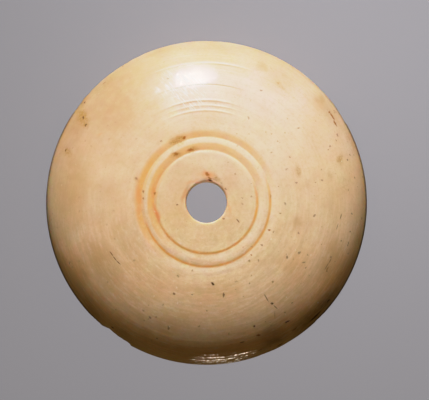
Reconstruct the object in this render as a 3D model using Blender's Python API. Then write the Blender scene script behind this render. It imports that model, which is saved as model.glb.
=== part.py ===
# Spindle whorl: a domed disc turned from bone, flat underneath, with a hole for the spindle
# and two grooves cut around the hole. Metres, +Z up, origin at the middle of the underside.

import math

import bmesh
import bpy

# The disc. It has dried a little narrower across X than along Y.
WHORL_DIAMETER = 0.0462
DRIED_DIAMETER = 0.04578
CROWN_HEIGHT = 0.012
DOME_FULLNESS = 3.1  # 2 gives an elliptical dome, more gives it a fuller shoulder
BASE_EDGE_ROUND = 0.0006

# The hole for the spindle.
HOLE_DIAMETER = 0.0058
HOLE_TOP_ROUND = 0.00022
HOLE_BASE_ROUND = 0.0002

# The grooves. Each has a wall on the side of the hole and a gentler side towards the rim.
INNER_GROOVE_RADIUS = 0.0073
INNER_GROOVE_DEPTH = 0.000085
INNER_GROOVE_WALL = 0.00042
INNER_GROOVE_SIDE = 0.00095
OUTER_GROOVE_RADIUS = 0.00914
OUTER_GROOVE_DEPTH = 0.0001
OUTER_GROOVE_WALL = 0.0008
OUTER_GROOVE_SIDE = 0.00105

# Two chips broken from the rim: where each begins and ends, in degrees anticlockwise from +X,
# how far it bites in from the rim, and how high it reaches above the underside.
LONG_CHIP_START = 229.8
LONG_CHIP_END = 241.8
LONG_CHIP_DEPTH = 0.00048
LONG_CHIP_HEIGHT = 0.0041
WORN_NICK_START = 29.5
WORN_NICK_END = 34.6
WORN_NICK_DEPTH = 0.00018
WORN_NICK_HEIGHT = 0.0028
CHIP_UPRIGHT = 0.88  # the share of a chip's height that stands upright, below its sloping top
# How deep a chip is along its length, both as shares.
CHIP_SHAPE = ((0.0, 0.3), (0.2, 1.0), (0.45, 0.72), (0.92, 0.62), (1.0, 0.1))
CHIP_OVERHANG = 0.0005  # how far a chip's cutter stands clear of the disc

# How finely the turned surface is divided.
TURNS = 108
DOME_STEPS = 16
WALL_STEPS = 4
SIDE_STEPS = 3
ROUND_STEPS = 3
CLOSEST_STATIONS = 0.00006

BONE_COLOUR = (0.70, 0.48, 0.26, 1.0)
BONE_ROUGHNESS = 0.42

rim_radius = WHORL_DIAMETER / 2
drying = DRIED_DIAMETER / WHORL_DIAMETER
hole_radius = HOLE_DIAMETER / 2
grooves = (
    (INNER_GROOVE_RADIUS, INNER_GROOVE_DEPTH, INNER_GROOVE_WALL, INNER_GROOVE_SIDE),
    (OUTER_GROOVE_RADIUS, OUTER_GROOVE_DEPTH, OUTER_GROOVE_WALL, OUTER_GROOVE_SIDE),
)
rim_chips = {
    "long_chip": (LONG_CHIP_START, LONG_CHIP_END, LONG_CHIP_DEPTH, LONG_CHIP_HEIGHT),
    "worn_nick": (WORN_NICK_START, WORN_NICK_END, WORN_NICK_DEPTH, WORN_NICK_HEIGHT),
}


def clear_scene():
    for old in list(bpy.data.objects):
        bpy.data.objects.remove(old, do_unlink=True)


def bone_material():
    material = bpy.data.materials.new("bone")
    material.use_nodes = True
    shader = material.node_tree.nodes["Principled BSDF"]
    shader.inputs["Base Color"].default_value = BONE_COLOUR
    shader.inputs["Roughness"].default_value = BONE_ROUGHNESS
    shader.inputs["Metallic"].default_value = 0.0
    return material


def dome_height(radius):
    """Height of the plain dome above the underside, before any groove is cut."""
    share = min(radius / rim_radius, 1.0)
    rise = CROWN_HEIGHT - BASE_EDGE_ROUND
    return BASE_EDGE_ROUND + rise * math.sqrt(1.0 - share ** DOME_FULLNESS)


def groove_cut(radius, groove):
    """Depth of one groove at this radius: steepest beside its lowest line."""
    lowest, depth, wall, side = groove
    away = (lowest - radius) / wall if radius < lowest else (radius - lowest) / side
    return depth * max(1.0 - away, 0.0) ** 2


def surface_height(radius):
    return dome_height(radius) - max(groove_cut(radius, groove) for groove in grooves)


def groove_stations(groove):
    """Radii at which a groove's curve is drawn, from its inner lip to its outer end."""
    lowest, _, wall, side = groove
    inner = [lowest - wall * (1 - step / WALL_STEPS) for step in range(WALL_STEPS)]
    outer = [lowest + side * step / SIDE_STEPS for step in range(SIDE_STEPS + 1)]
    return inner + outer


def in_groove(radius):
    return any(lowest - wall < radius < lowest + side for lowest, _, wall, side in grooves)


def dome_stations(first):
    """Radii between the hole's lip and the rim, closer together where the dome turns down."""
    start = math.acos(min(first / rim_radius, 1.0) ** (DOME_FULLNESS / 2))
    angles = [start * (1 - step / DOME_STEPS) for step in range(DOME_STEPS + 1)]
    return [rim_radius * math.cos(angle) ** (2 / DOME_FULLNESS) for angle in angles]


def surface_stations():
    first = hole_radius + HOLE_TOP_ROUND
    kept = [first, rim_radius]
    for groove in grooves:
        kept += [radius for radius in groove_stations(groove) if first < radius < rim_radius]
    for radius in dome_stations(first):
        if first < radius < rim_radius and not in_groove(radius):
            kept.append(radius)
    kept.sort()
    stations = [kept[0]]
    for radius in kept[1:-1]:
        if min(radius - stations[-1], kept[-1] - radius) > CLOSEST_STATIONS:
            stations.append(radius)
    return stations + [kept[-1]]


def arc(centre, radius, start, end):
    """Points of a rounded edge in the profile, from one angle in degrees to another."""
    points = []
    for step in range(ROUND_STEPS + 1):
        angle = math.radians(start + (end - start) * step / ROUND_STEPS)
        points.append((centre[0] + radius * math.cos(angle), centre[1] + radius * math.sin(angle)))
    return points


def whorl_profile():
    """Half the section through the whorl: up the hole, out over the dome and in under the base."""
    stations = surface_stations()
    lip_height = surface_height(stations[0])
    profile = arc((hole_radius + HOLE_BASE_ROUND, HOLE_BASE_ROUND), HOLE_BASE_ROUND, 270, 180)
    profile += arc((stations[0], lip_height - HOLE_TOP_ROUND), HOLE_TOP_ROUND, 180, 90)
    profile += [(radius, surface_height(radius)) for radius in stations[1:-1]]
    profile += arc((rim_radius - BASE_EDGE_ROUND, BASE_EDGE_ROUND), BASE_EDGE_ROUND, 0, -90)
    return profile


def make_object(name, bm):
    bmesh.ops.recalc_face_normals(bm, faces=bm.faces)
    mesh = bpy.data.meshes.new(name)
    bm.to_mesh(mesh)
    bm.free()
    made = bpy.data.objects.new(name, mesh)
    bpy.context.scene.collection.objects.link(made)
    return made


def make_disc():
    """The profile spun about Z into one closed body, then narrowed across X."""
    bm = bmesh.new()
    points = [bm.verts.new((radius, 0.0, height)) for radius, height in whorl_profile()]
    edges = [bm.edges.new(ends) for ends in zip(points, points[1:] + points[:1])]
    bmesh.ops.spin(
        bm,
        geom=points + edges,
        axis=(0.0, 0.0, 1.0),
        cent=(0.0, 0.0, 0.0),
        angle=2 * math.pi,
        steps=TURNS,
        use_merge=True,
    )
    bmesh.ops.scale(bm, vec=(drying, 1.0, 1.0), verts=bm.verts)
    return make_object("whorl", bm)


def chip_section(chip, along, depth_share):
    """The chip's section at one place along it: upright inside, then sloping out to its top."""
    start, end, depth, top = chip
    angle = math.radians(start + (end - start) * along)
    inner = rim_radius - depth * depth_share
    outer = rim_radius + CHIP_OVERHANG
    upright = top * CHIP_UPRIGHT
    section = ((inner, -CHIP_OVERHANG), (inner, upright), (outer, top), (outer, -CHIP_OVERHANG))
    across = drying * math.cos(angle)
    return [(radius * across, radius * math.sin(angle), height) for radius, height in section]


def make_chip_cutter(name, chip):
    bm = bmesh.new()
    sections = []
    for along, depth_share in CHIP_SHAPE:
        sections.append([bm.verts.new(point) for point in chip_section(chip, along, depth_share)])
    for section, next_section in zip(sections, sections[1:]):
        for corner in range(4):
            after = (corner + 1) % 4
            bm.faces.new((section[corner], section[after], next_section[after], next_section[corner]))
    bm.faces.new(sections[0])
    bm.faces.new(sections[-1])
    cutter = make_object(name, bm)
    cutter.hide_render = True
    cutter.display_type = "WIRE"
    return cutter


def cut(body, cutter):
    boolean = body.modifiers.new(cutter.name, "BOOLEAN")
    boolean.operation = "DIFFERENCE"
    boolean.solver = "EXACT"
    boolean.object = cutter


clear_scene()
whorl = make_disc()
whorl.data.materials.append(bone_material())
whorl.data.shade_smooth()
whorl.data.set_sharp_from_angle(angle=math.radians(40))
for chip_name, rim_chip in rim_chips.items():
    cut(whorl, make_chip_cutter(chip_name, rim_chip))
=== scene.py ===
import math

import bpy
from mathutils import Matrix, Vector, noise


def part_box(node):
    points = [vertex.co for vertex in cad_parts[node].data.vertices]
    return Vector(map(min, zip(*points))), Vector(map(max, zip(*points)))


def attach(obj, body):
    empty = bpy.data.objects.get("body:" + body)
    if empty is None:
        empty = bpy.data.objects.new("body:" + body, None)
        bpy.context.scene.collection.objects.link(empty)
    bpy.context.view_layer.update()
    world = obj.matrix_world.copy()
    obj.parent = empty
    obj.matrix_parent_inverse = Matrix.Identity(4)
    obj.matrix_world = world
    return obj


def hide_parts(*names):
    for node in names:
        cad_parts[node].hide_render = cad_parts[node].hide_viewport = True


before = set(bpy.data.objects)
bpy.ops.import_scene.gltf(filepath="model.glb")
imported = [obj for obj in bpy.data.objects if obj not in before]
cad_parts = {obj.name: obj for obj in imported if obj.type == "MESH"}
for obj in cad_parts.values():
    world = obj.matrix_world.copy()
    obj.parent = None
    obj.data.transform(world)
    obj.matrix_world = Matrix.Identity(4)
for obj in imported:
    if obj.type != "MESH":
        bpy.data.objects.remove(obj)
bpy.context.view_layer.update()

# A domed spindle whorl of turned bone, lying on its flat side and seen from straight above.
# Shapes, marks and textures are in millimetres and degrees, and the scene itself is in metres.
mm = 0.001
lowCorner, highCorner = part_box("whorl")
rimRadius = highCorner.y / mm
drying = highCorner.x / highCorner.y  # the disc has dried a little narrower across X


# What a user would change on the turned shape.
whorlShape = {
    "crownHeight": 12.0,
    "domeFullness": 3.1,
    "rimRound": 0.6,
    "holeRadius": 2.9,
    "holeTopRound": 0.22,
    "holeBaseRound": 0.2,
    # grooves: radius of the lowest line, depth, width of the wall on the side of the hole, and of
    # the gentle side towards the rim
    "grooves": ((7.30, 0.085, 0.42, 0.95), (9.14, 0.100, 0.80, 1.05)),
    # how far out from each lowest line the stain and painted shade on the gentle side are even, and where
    # they end
    "stainReach": ((0.85, 1.15), (0.55, 1.25)),
    # the sides of the disc where the grooves are tinted: middle direction, full within, and none beyond
    # below: stain and painted shade on the walls turned from the key light, painted light on the sides
    # facing it; above: painted shade on the gentle sides, painted light on the ridge; left: stain
    "stainBelow": (284, 70, 112),
    "stainAbove": (120, 62, 125),
    "stainLeft": (180, 25, 60),
    "allOverWear": 0.006,
    # lines that the turning tool left on the dome: radius, half width and depth, or height if minus
    "turnedLines": (
        (11.56, 0.20, -0.012), (12.10, 0.18, -0.010), (12.85, 0.25, -0.032), (13.55, 0.20, -0.024),
        (14.30, 0.25, -0.034), (15.50, 0.15, 0.005), (16.50, 0.15, 0.032), (17.45, 0.13, 0.010),
        (18.10, 0.14, 0.012), (18.85, 0.15, 0.010), (19.62, 0.24, -0.045), (21.05, 0.18, 0.008),
    ),
    # flats between two lines, which make the dome's curve step
    "flats": ((10.30, 12.45), (14.60, 16.50), (16.50, 18.10), (18.10, 19.40), (19.80, 21.05)),
    "flatShare": 0.35,
    "palestLine": 0.034,
    "dirtyLine": 16.5,  # the line painted darker along its length: dirt in it, and painted shade where it breaks the shine
    # the lines are crisp, and their painted light and shade strong, between the middle two angles
    "lineSides": (62, 80, 110, 124),
    "tintSides": (68, 84, 100, 116),
    "rubbedShare": 0.2,
    "rimRidgeSpacing": 0.45,
    "rimRidgeDepth": 0.012,
    "rimRidgeHeights": (1.5, 5.5),
    "unevenness": 0.012,
    "undersideRings": 0.008,
    "crustDepth": 0.06,
    "crustRow": 1.2,  # from one row to the next, outwards and down together
    "crustGrain": 0.5,
    "segments": 424,
    # where the rings of the mesh lie closer: from, to and spacing
    "closeRings": ((6.8, 10.3, 0.085), (12.2, 20.4, 0.105)),
    "ringSpacing": 0.27,
    "rimRingSpacing": 0.24,
    "edgeSteps": 7,
    "undersideSteps": 26,
    "boreSteps": 12,
    "boreEdgeSteps": 4,
    "lipSteps": 6,
}

# What broke and wore away along the rim. Angles run anticlockwise from +X.
rimDamage = {
    # from, to, how far it bites in, how high it reaches
    "chips": ((229.8, 241.8, 0.48, 4.1), (29.5, 34.6, 0.18, 2.8)),
    "chipShape": ((0.0, 0.3), (0.2, 1.0), (0.45, 0.72), (0.92, 0.62), (1.0, 0.1)),
    "chipUpright": 0.88,  # the share of a chip's height that is upright, below its sloping top
    "chipRoughness": 0.05,
    # from, to, how far it bites in
    "wornStretches": (
        (112, 148.5, 0.22), (223, 232, 0.19), (38, 52, 0.12), (352, 366, 0.07), (286, 305, 0.08),
        (84, 92, 0.13), (310, 319, 0.12), (169, 177, 0.08),
    ),
    "edgeNicks": 0.09,
}


# Soft patches in the bone, each placed on the dome: x, y, half length, half width, turn
# and strength. Their strengths are kept on the mesh.
bonePatches = {
    "ivory": {
        "colour": (0.99, 0.665, 0.49, 1),
        "places": (
            (6.5, 8, 10, 7, -45, 0.85), (13.5, 8, 6, 5.5, 0, 0.55), (-14, 4, 3.5, 2, 0, 0.3),
            (-3, 11.5, 6, 2, 10, 0.6), (12, -5.5, 4, 3, 60, 0.35), (9, 0.5, 4, 3, 90, 0.4),
            # the patch at (1, -10.2) paints the side of the outer groove that faces the key light paler:
            # painted light
            (1, -10.2, 8, 2.2, 4, 0.8), (5, -6, 2.2, 1.6, 45, 0.3), (-4, -9, 3, 1, -25, 0.5),
            (0, 6, 4.5, 1.4, 0, 0.6),
        ),
    },
    "rosy": {
        "colour": (0.99, 0.6, 0.51, 1),
        "places": (
            (-0.5, 16.5, 11, 6.5, 0, 0.7), (8.5, 15.5, 10, 6.5, -28, 0.75),
        ),
    },
    "peach": {
        "colour": (0.82, 0.48, 0.29, 1),
        "places": (
            (-11.3, 12.2, 4.2, 3, -40, 0.45), (-17, 9, 3, 2, -60, 0.35), (0, -4.8, 2.8, 1.8, 0, 0.5),
            (-12.8, -11, 2.4, 1.8, -45, 0.55), (14.3, 9.5, 2.2, 1.8, 0, 0.25), (6, 8.6, 1.6, 1, 0, 0.2),
            (0.5, 4, 2, 1, 20, 0.4), (12.4, -2.6, 1.5, 1, -70, 0.3), (1, 20, 13, 3, -3, 0.65),
            (-6, 18, 5, 3, 20, 0.4), (10, 17.5, 4.5, 3, -30, 0.5),
        ),
    },
    "orange": {
        "colour": (0.88, 0.3, 0.095, 1),
        "places": (
            (-7.05, -1.6, 2.4, 0.55, 100, 1), (-7.2, 1.3, 1.6, 0.55, 88, 0.8),
            (-6.9, 3, 1.8, 0.45, 65, 0.5), (-9.4, 0.5, 4.4, 0.6, 92, 0.6),
            (-1.6, 3, 1.6, 0.35, 30, 0.5), (-2.9, 1, 1.8, 0.35, 70, 0.55),
            (3.1, -0.6, 1.5, 0.28, -80, 0.45), (0.1, 3.8, 1.7, 0.9, 0, 0.8),
            (-14.9, 9.4, 0.8, 0.25, 10, 0.35), (-5.4, -4.9, 1.2, 0.3, -45, 0.3),
        ),
    },
    "tan": {
        "colour": (0.56, 0.315, 0.155, 1),
        "places": (
            (-13.5, 14, 13, 8.5, 45, 0.8), (-19, 3, 11, 5, 84, 0.75), (-12, 12.5, 2, 1.4, -40, 0.4),
            (16.1, 14.6, 1.4, 1.1, -60, 0.7), (-15, -1.5, 3, 2.4, 0, 0.35),
            (7.8, 18.9, 1.4, 1.1, 0, 0.7), (17.3, -8, 4.5, 2.4, 68, 0.6),
            (17, 12.8, 3.6, 2.2, -60, 0.5), (15.2, 8.5, 4.5, 2.8, 80, 0.25), (18, 0, 4.5, 2.2, 88, 0.3),
            (-17.5, -9.3, 4.5, 2.8, -62, 0.5), (11.2, 17.9, 1.5, 1, -40, 0.5),
            (-14.5, -8.5, 6, 3.6, -60, 0.7), (-4.5, -16.8, 6.5, 2.8, -8, 0.5),
            (9.8, -17, 5, 2.8, 28, 0.5), (-8, 18.5, 5, 2.6, 22, 0.35), (10.5, 17.5, 4.5, 3, -32, 0.35),
            (-20.5, 6, 5, 2, 75, 0.5), (12.7, -3, 1.4, 0.9, 80, 0.5), (-18, 11, 7.5, 3.4, 58, 0.85),
            (-7, 21.3, 4, 1.6, 18, 0.55), (-14, 16, 11, 3, 42, 0.8), (1, 22, 9, 1.6, 0, 0.35),
            (-15, 1.5, 5, 4, 0, 0.4), (-10.5, -5.5, 5, 4, -60, 0.35),
        ),
    },
    "olive": {
        "colour": (0.46, 0.245, 0.045, 1),
        "places": (
            (1.4, 3.3, 1.01, 0.56, -40, 0.9), (9.9, 16.9, 0.49, 0.39, 0, 1),
            (12.7, 4.4, 1.28, 0.7, -75, 0.7), (18.9, 6, 1.01, 0.7, -70, 0.75),
            (-4.1, 8.6, 1.9, 0.85, 35, 1), (-17.4, 12, 2, 1.25, -60, 1),
            (-17, 10.8, 0.81, 0.63, -60, 0.9), (-19.7, 7.3, 1.5, 1, -55, 0.85),
            (-4.3, 6.7, 1.3, 0.75, 20, 0.9), (19.5, 2.6, 2.16, 1.12, -80, 0.4),
            (10.4, 16.2, 1.08, 0.35, -40, 0.4), (-2.1, 7.4, 1.35, 0.6, 15, 0.85),
            (17.4, 3.9, 1.22, 0.7, -70, 0.35), (-9.7, 3.1, 0.81, 0.42, -50, 0.5),
            (8.8, -20.6, 2.16, 0.7, 24, 0.5), (-14.4, 17, 4.05, 0.84, 40, 0.4),
            (-17.5, 13.9, 2.7, 0.7, 52, 0.5), (20.3, 9.6, 4.05, 0.84, -65, 0.4),
        ),
    },
    "umber": {
        "colour": (0.15, 0.085, 0.03, 1),
        "places": (
            (16.1, -15.9, 10.5, 2.4, 45, 0.9), (19.6, -9.6, 5, 2, 66, 0.2),
            (9.8, -19.8, 4, 1.4, 26, 0.7), (-17.6, -12.3, 7.5, 1.8, -56, 0.2),
            (-11.5, -19.2, 5, 1.1, -32, 0.35),
        ),
    },
    "russet": {
        "colour": (0.34, 0.14, 0.07, 1),
        "places": (
            (-2, -22.4, 8.5, 1.3, 0, 0.12), (-16.2, -15.6, 3, 0.9, -45, 0.6),
            (-2.6, 1.4, 2.4, 0.45, 60, 0.5), (0.3, 3.05, 2.6, 0.35, 0, 0.7),
            (2.5, 1.7, 1.6, 0.35, -60, 0.5), (-17.3, 14.2, 0.6, 0.4, 45, 0.6),
            (9, -18.6, 3.2, 1.4, 25, 0.45),
        ),
    },
}
# the rough stretch at the foot of the dome that glitters, and where short scratches cross the polish
crustPlaces = ((2.2, -22.4, 7.8, 1.5, 6, 1),)
hatchedPlaces = ((-3.2, 16, 4.6, 3.6, -20, 1),)
softPatches = {name: patch["places"] for name, patch in bonePatches.items()}
softPatches.update({"crust": crustPlaces, "hatched": hatchedPlaces})


def smoothStep(low, high, value):
    share = min(max((value - low) / (high - low), 0.0), 1.0)
    return share * share * (3 - 2 * share)


def within(edges, value):
    # 0 beyond the outer two edges and 1 between the inner two
    outerLow, innerLow, innerHigh, outerHigh = edges
    return smoothStep(outerLow, innerLow, value) * smoothStep(outerHigh, innerHigh, value)


def domeHeight(radius):
    share = min(radius / rimRadius, 1.0)
    rise = whorlShape["crownHeight"] - whorlShape["rimRound"]
    return whorlShape["rimRound"] + rise * math.sqrt(1.0 - share ** whorlShape["domeFullness"])


def domePoint(angle):
    # 90 degrees is the top of the dome and 0 the widest part of the rim
    rise = whorlShape["crownHeight"] - whorlShape["rimRound"]
    radius = rimRadius * max(math.cos(angle), 0.0) ** (2 / whorlShape["domeFullness"])
    return radius, whorlShape["rimRound"] + rise * math.sin(angle)


def domeNormal(radius, height):
    rise = whorlShape["crownHeight"] - whorlShape["rimRound"]
    power = whorlShape["domeFullness"]
    outward = power * (radius / rimRadius) ** (power - 1) / rimRadius
    upward = 2 * (height - whorlShape["rimRound"]) / rise ** 2
    size = math.hypot(outward, upward)
    return outward / size, upward / size


def facing(angle, middle, full, none):
    # 1 within so many degrees of a middle direction, and 0 beyond so many
    away = abs((math.degrees(angle) - middle + 180) % 360 - 180)
    return smoothStep(none, full, away)


def grooveTints(radius, angle):
    # stain and painted shade: a line along the steep walls below, and broad bands of painted shade on the
    # gentle sides above, which face away from the key light, and of stain at the left. Painted light makes
    # the sides that face the key light paler.
    sides = ("stainBelow", "stainAbove", "stainLeft")
    below, above, left = (facing(angle, *whorlShape[side]) for side in sides)
    dirt = fresh = 0.0
    for (grooveRadius, _, wall, _), (even, ends) in zip(whorlShape["grooves"], whorlShape["stainReach"]):
        away = radius - grooveRadius
        onWall = within((-0.44, -0.20, -0.08, 0.14), away)
        onSide = within((-0.10, 0.12, even, ends), away)
        dirt = max(dirt, onWall * max(below, 0.45 * left), onSide * (0.55 * above + 0.34 * left))
        outerSide = within((0.08, 0.35, 0.95, 1.35), away)
        ridge = within((-wall - 0.25, -wall * 0.75, -0.16, 0.0), away)
        fresh = max(fresh, outerSide * below, ridge * above * (1 - left))
    return dirt, fresh


def lineLightAndShade(radius, angle):
    # painted light and shade of the turned lines: above 0 on the side of a line that faces the key light,
    # below 0 on the side turned from it and along the darkened line
    crisp = within(whorlShape["tintSides"], math.degrees(angle))
    tint = 0.0
    for lineRadius, halfWidth, depth in whorlShape["turnedLines"]:
        away = (radius - lineRadius) / halfWidth
        if abs(away) < 1.0:
            tint -= depth / whorlShape["palestLine"] * math.sin(math.pi * away) * crisp
    return tint - 0.9 * smoothStep(0.16, 0.04, abs(radius - whorlShape["dirtyLine"])) * crisp


def grooveCut(radius):
    deepest = 0.0
    for grooveRadius, depth, wall, side in whorlShape["grooves"]:
        if radius < grooveRadius:
            away = min((grooveRadius - radius) / wall, 1.0)
            share = (1 - away) ** 2
        else:
            away = min((radius - grooveRadius) / side, 1.0)
            share = 1 - away / 0.75 if away < 0.5 else (1 - away) ** 2 / 0.75
        deepest = max(deepest, depth * share)
    return deepest


def flatCut(radius):
    for start, end in whorlShape["flats"]:
        if start < radius < end:
            along = (radius - start) / (end - start)
            chord = domeHeight(start) * (1 - along) + domeHeight(end) * along
            return whorlShape["flatShare"] * (domeHeight(radius) - chord)
    return 0.0


def lineFade(angle):
    # the lines are crisp on the side towards +Y and rubbed away elsewhere
    crisp = within(whorlShape["lineSides"], math.degrees(angle))
    return whorlShape["rubbedShare"] + (1 - whorlShape["rubbedShare"]) * crisp


def lineCut(radius, angle):
    cut = 0.0
    for number, (lineRadius, halfWidth, depth) in enumerate(whorlShape["turnedLines"]):
        away = abs(radius - lineRadius) / halfWidth
        if away < 1.0:
            around = Vector((2 * math.cos(angle), 2 * math.sin(angle), number))
            strength = (0.85 + 0.6 * noise.noise(around)) * lineFade(angle)
            cut += depth * strength * math.cos(math.pi / 2 * away) ** 2
    return cut


def ringSpacing(radius):
    for start, end, spacing in whorlShape["closeRings"]:
        if start < radius < end:
            return spacing
    return whorlShape["ringSpacing" if radius < rimRadius * 0.92 else "rimRingSpacing"]


def domeRings():
    rings = []
    lip = whorlShape["holeRadius"] + whorlShape["holeTopRound"]
    angle = math.acos((lip / rimRadius) ** (whorlShape["domeFullness"] / 2))
    lineRadii = sorted(line[0] for line in whorlShape["turnedLines"])
    while angle > 0.0:
        plainRadius, plainHeight = radius, height = domePoint(angle)
        snap = ringSpacing(radius) / 2 * domeNormal(radius, height)[1]
        for lineRadius in lineRadii:
            if abs(radius - lineRadius) < snap:
                radius, height = lineRadius, domeHeight(lineRadius)
        if not rings or radius - rings[-1][0] > 0.01:
            rings.append((radius, height) + domeNormal(radius, height) + ("dome",))
        nextRadius, nextHeight = domePoint(angle - 0.001)
        pace = math.hypot(nextRadius - plainRadius, nextHeight - plainHeight) / 0.001
        angle -= ringSpacing(radius) / pace
    return rings


def arcRings(centre, radius, start, end, steps, zone):
    rings = []
    for step in range(steps + 1):
        angle = math.radians(start + (end - start) * step / steps)
        across, up = math.cos(angle), math.sin(angle)
        rings.append((centre[0] + radius * across, centre[1] + radius * up, across, up, zone))
    return rings


def whorlRings():
    # once round the section: over the dome, in under the base and up the hole
    shape = whorlShape
    lip = shape["holeRadius"] + shape["holeTopRound"]
    baseEdge = rimRadius - shape["rimRound"]
    rings = domeRings()
    rimRound, baseRound, topRound = shape["rimRound"], shape["holeBaseRound"], shape["holeTopRound"]
    rings += arcRings((baseEdge, rimRound), rimRound, 0, -90, shape["edgeSteps"], "edge")
    boreEdge = shape["holeRadius"] + baseRound
    for step in range(1, shape["undersideSteps"]):
        radius = baseEdge + (boreEdge - baseEdge) * step / shape["undersideSteps"]
        rings.append((radius, 0.0, 0.0, -1.0, "underside"))
    rings += arcRings((boreEdge, baseRound), baseRound, 270, 180, shape["boreEdgeSteps"], "bore")
    lipHeight = domeHeight(lip) - topRound
    for step in range(1, shape["boreSteps"]):
        height = baseRound + (lipHeight - baseRound) * step / shape["boreSteps"]
        rings.append((shape["holeRadius"], height, -1.0, 0.0, "bore"))
    rings += arcRings((lip, lipHeight), topRound, 180, 90, shape["lipSteps"], "lip")[:-1]
    return rings


def chipLimit(degrees, height):
    # how far out the bone still reaches at this place of the rim
    limit = rimRadius
    for start, end, depth, top in rimDamage["chips"]:
        along = (degrees - start) / (end - start)
        if not 0.0 < along < 1.0 or height > top:
            continue
        shape = rimDamage["chipShape"]
        before = max(point for point in shape if point[0] <= along)
        after = min(point for point in shape if point[0] > along)
        share = before[1] + (after[1] - before[1]) * (along - before[0]) / (after[0] - before[0])
        upright = rimDamage["chipUpright"]
        slope = max(height - upright * top, 0.0) / ((1 - upright) * top)
        rough = rimDamage["chipRoughness"] * noise.noise(Vector((degrees * 1.1, height * 2.2, 3)))
        limit = min(limit, rimRadius - depth * share * (1 - slope) + rough * (1 - slope))
    return limit


def wornLimit(degrees, height):
    # how far out the worn and nicked rim reaches
    arc = math.radians(degrees) * rimRadius
    limit = rimRadius
    for start, end, depth in rimDamage["wornStretches"]:
        for turn in (0, 360):
            place = degrees + turn
            if start < place < end:
                ends = within((start, start + 3, end - 3, end), place)
                rough = 0.55 + 0.75 * noise.noise(Vector((arc * 0.9, height * 0.5, start)))
                rough += 0.45 * noise.noise(Vector((arc * 2.4, height * 1.1, start + 5)))
                limit = min(limit, rimRadius - depth * ends * max(rough, 0.0))
    nick = noise.noise(Vector((arc * 1.3, height * 1.6, 40))) - 0.25
    reach = smoothStep(1.1, 0.2, height)
    return min(limit, rimRadius - rimDamage["edgeNicks"] * 3 * max(nick, 0.0) * reach)


def reliefDepth(zone, radius, height, angle):
    # how far the real surface lies below the even one
    shape = whorlShape
    place = Vector((radius * math.cos(angle), radius * math.sin(angle), height))
    depth = shape["allOverWear"] + shape["unevenness"] * 0.5 * (1 + noise.noise(place / 5.0))
    if zone == "dome":
        low, high = shape["rimRidgeHeights"]
        onRim = within((low - 0.5, low + 0.3, high - 0.5, high + 0.5), height)
        rise = height / shape["rimRidgeSpacing"]
        wave = noise.noise(Vector((math.cos(angle) * 1.5, math.sin(angle) * 1.5, rise)))
        depth += shape["rimRidgeDepth"] * (1 + wave) * onRim
        crust = patchStrength(place.x * drying, place.y, crustPlaces)
        if crust > 0.0:
            row = 0.5 - 0.5 * math.sin(2 * math.pi * (radius - height) / shape["crustRow"])
            grain = noise.noise(Vector((angle * rimRadius / shape["crustGrain"], radius - height, 11.0)))
            depth += shape["crustDepth"] * crust * max(row + 0.8 * grain, 0.0)
    if zone == "underside":
        wave = noise.noise(Vector((math.cos(angle) * 0.4, math.sin(angle) * 0.4, radius * 1.7)))
        depth = shape["allOverWear"] + shape["undersideRings"] * (1 + wave)
    return depth


def wandered(place):
    # the edges of patches wander a little
    return place + 0.5 * noise.noise_vector(place * 0.4) + 0.2 * noise.noise_vector(place * 1.4)


def patchStrength(x, y, patches):
    # the strongest of several soft patches at this place
    strongest = 0.0
    for centreX, centreY, halfLength, halfWidth, turn, strength in patches:
        cosine, sine = math.cos(math.radians(turn)), math.sin(math.radians(turn))
        along = ((x - centreX) * cosine + (y - centreY) * sine) / halfLength
        across = ((y - centreY) * cosine - (x - centreX) * sine) / halfWidth
        away = math.hypot(along, across)
        if away < 1.0:
            strongest = max(strongest, strength * smoothStep(1.0, 0.1, away))
    return strongest


def whorlVertex(ring, angle):
    # the place of one point of the surface, and how freshly broken the bone is there
    radius, height, outward, upward, zone = ring
    depth = reliefDepth(zone, radius, height, angle)
    newRadius = radius - outward * depth
    newHeight = height - upward * depth
    if zone == "dome":
        newHeight -= grooveCut(radius) + flatCut(radius) * lineFade(angle) + lineCut(radius, angle)
    broken = 0.0
    if radius > rimRadius - 1.5:
        degrees = math.degrees(angle)
        limit = min(chipLimit(degrees, height), wornLimit(degrees, height))
        broken = smoothStep(0.0, 0.12, newRadius - limit)
        newRadius = min(newRadius, limit)
    place = Vector((newRadius * math.cos(angle) * drying, newRadius * math.sin(angle), newHeight))
    return place, broken


def surfaceTints(radius, angle, place):
    # what the dome's finish has to know about one point of it
    dirt, fresh = grooveTints(radius, angle)
    tints = {"dirt": dirt, "fresh": fresh, "lines": lineLightAndShade(radius, angle)}
    x, y, _ = wandered(place)
    for name, patches in softPatches.items():
        tints[name] = patchStrength(x, y, patches)
    return tints


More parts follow.
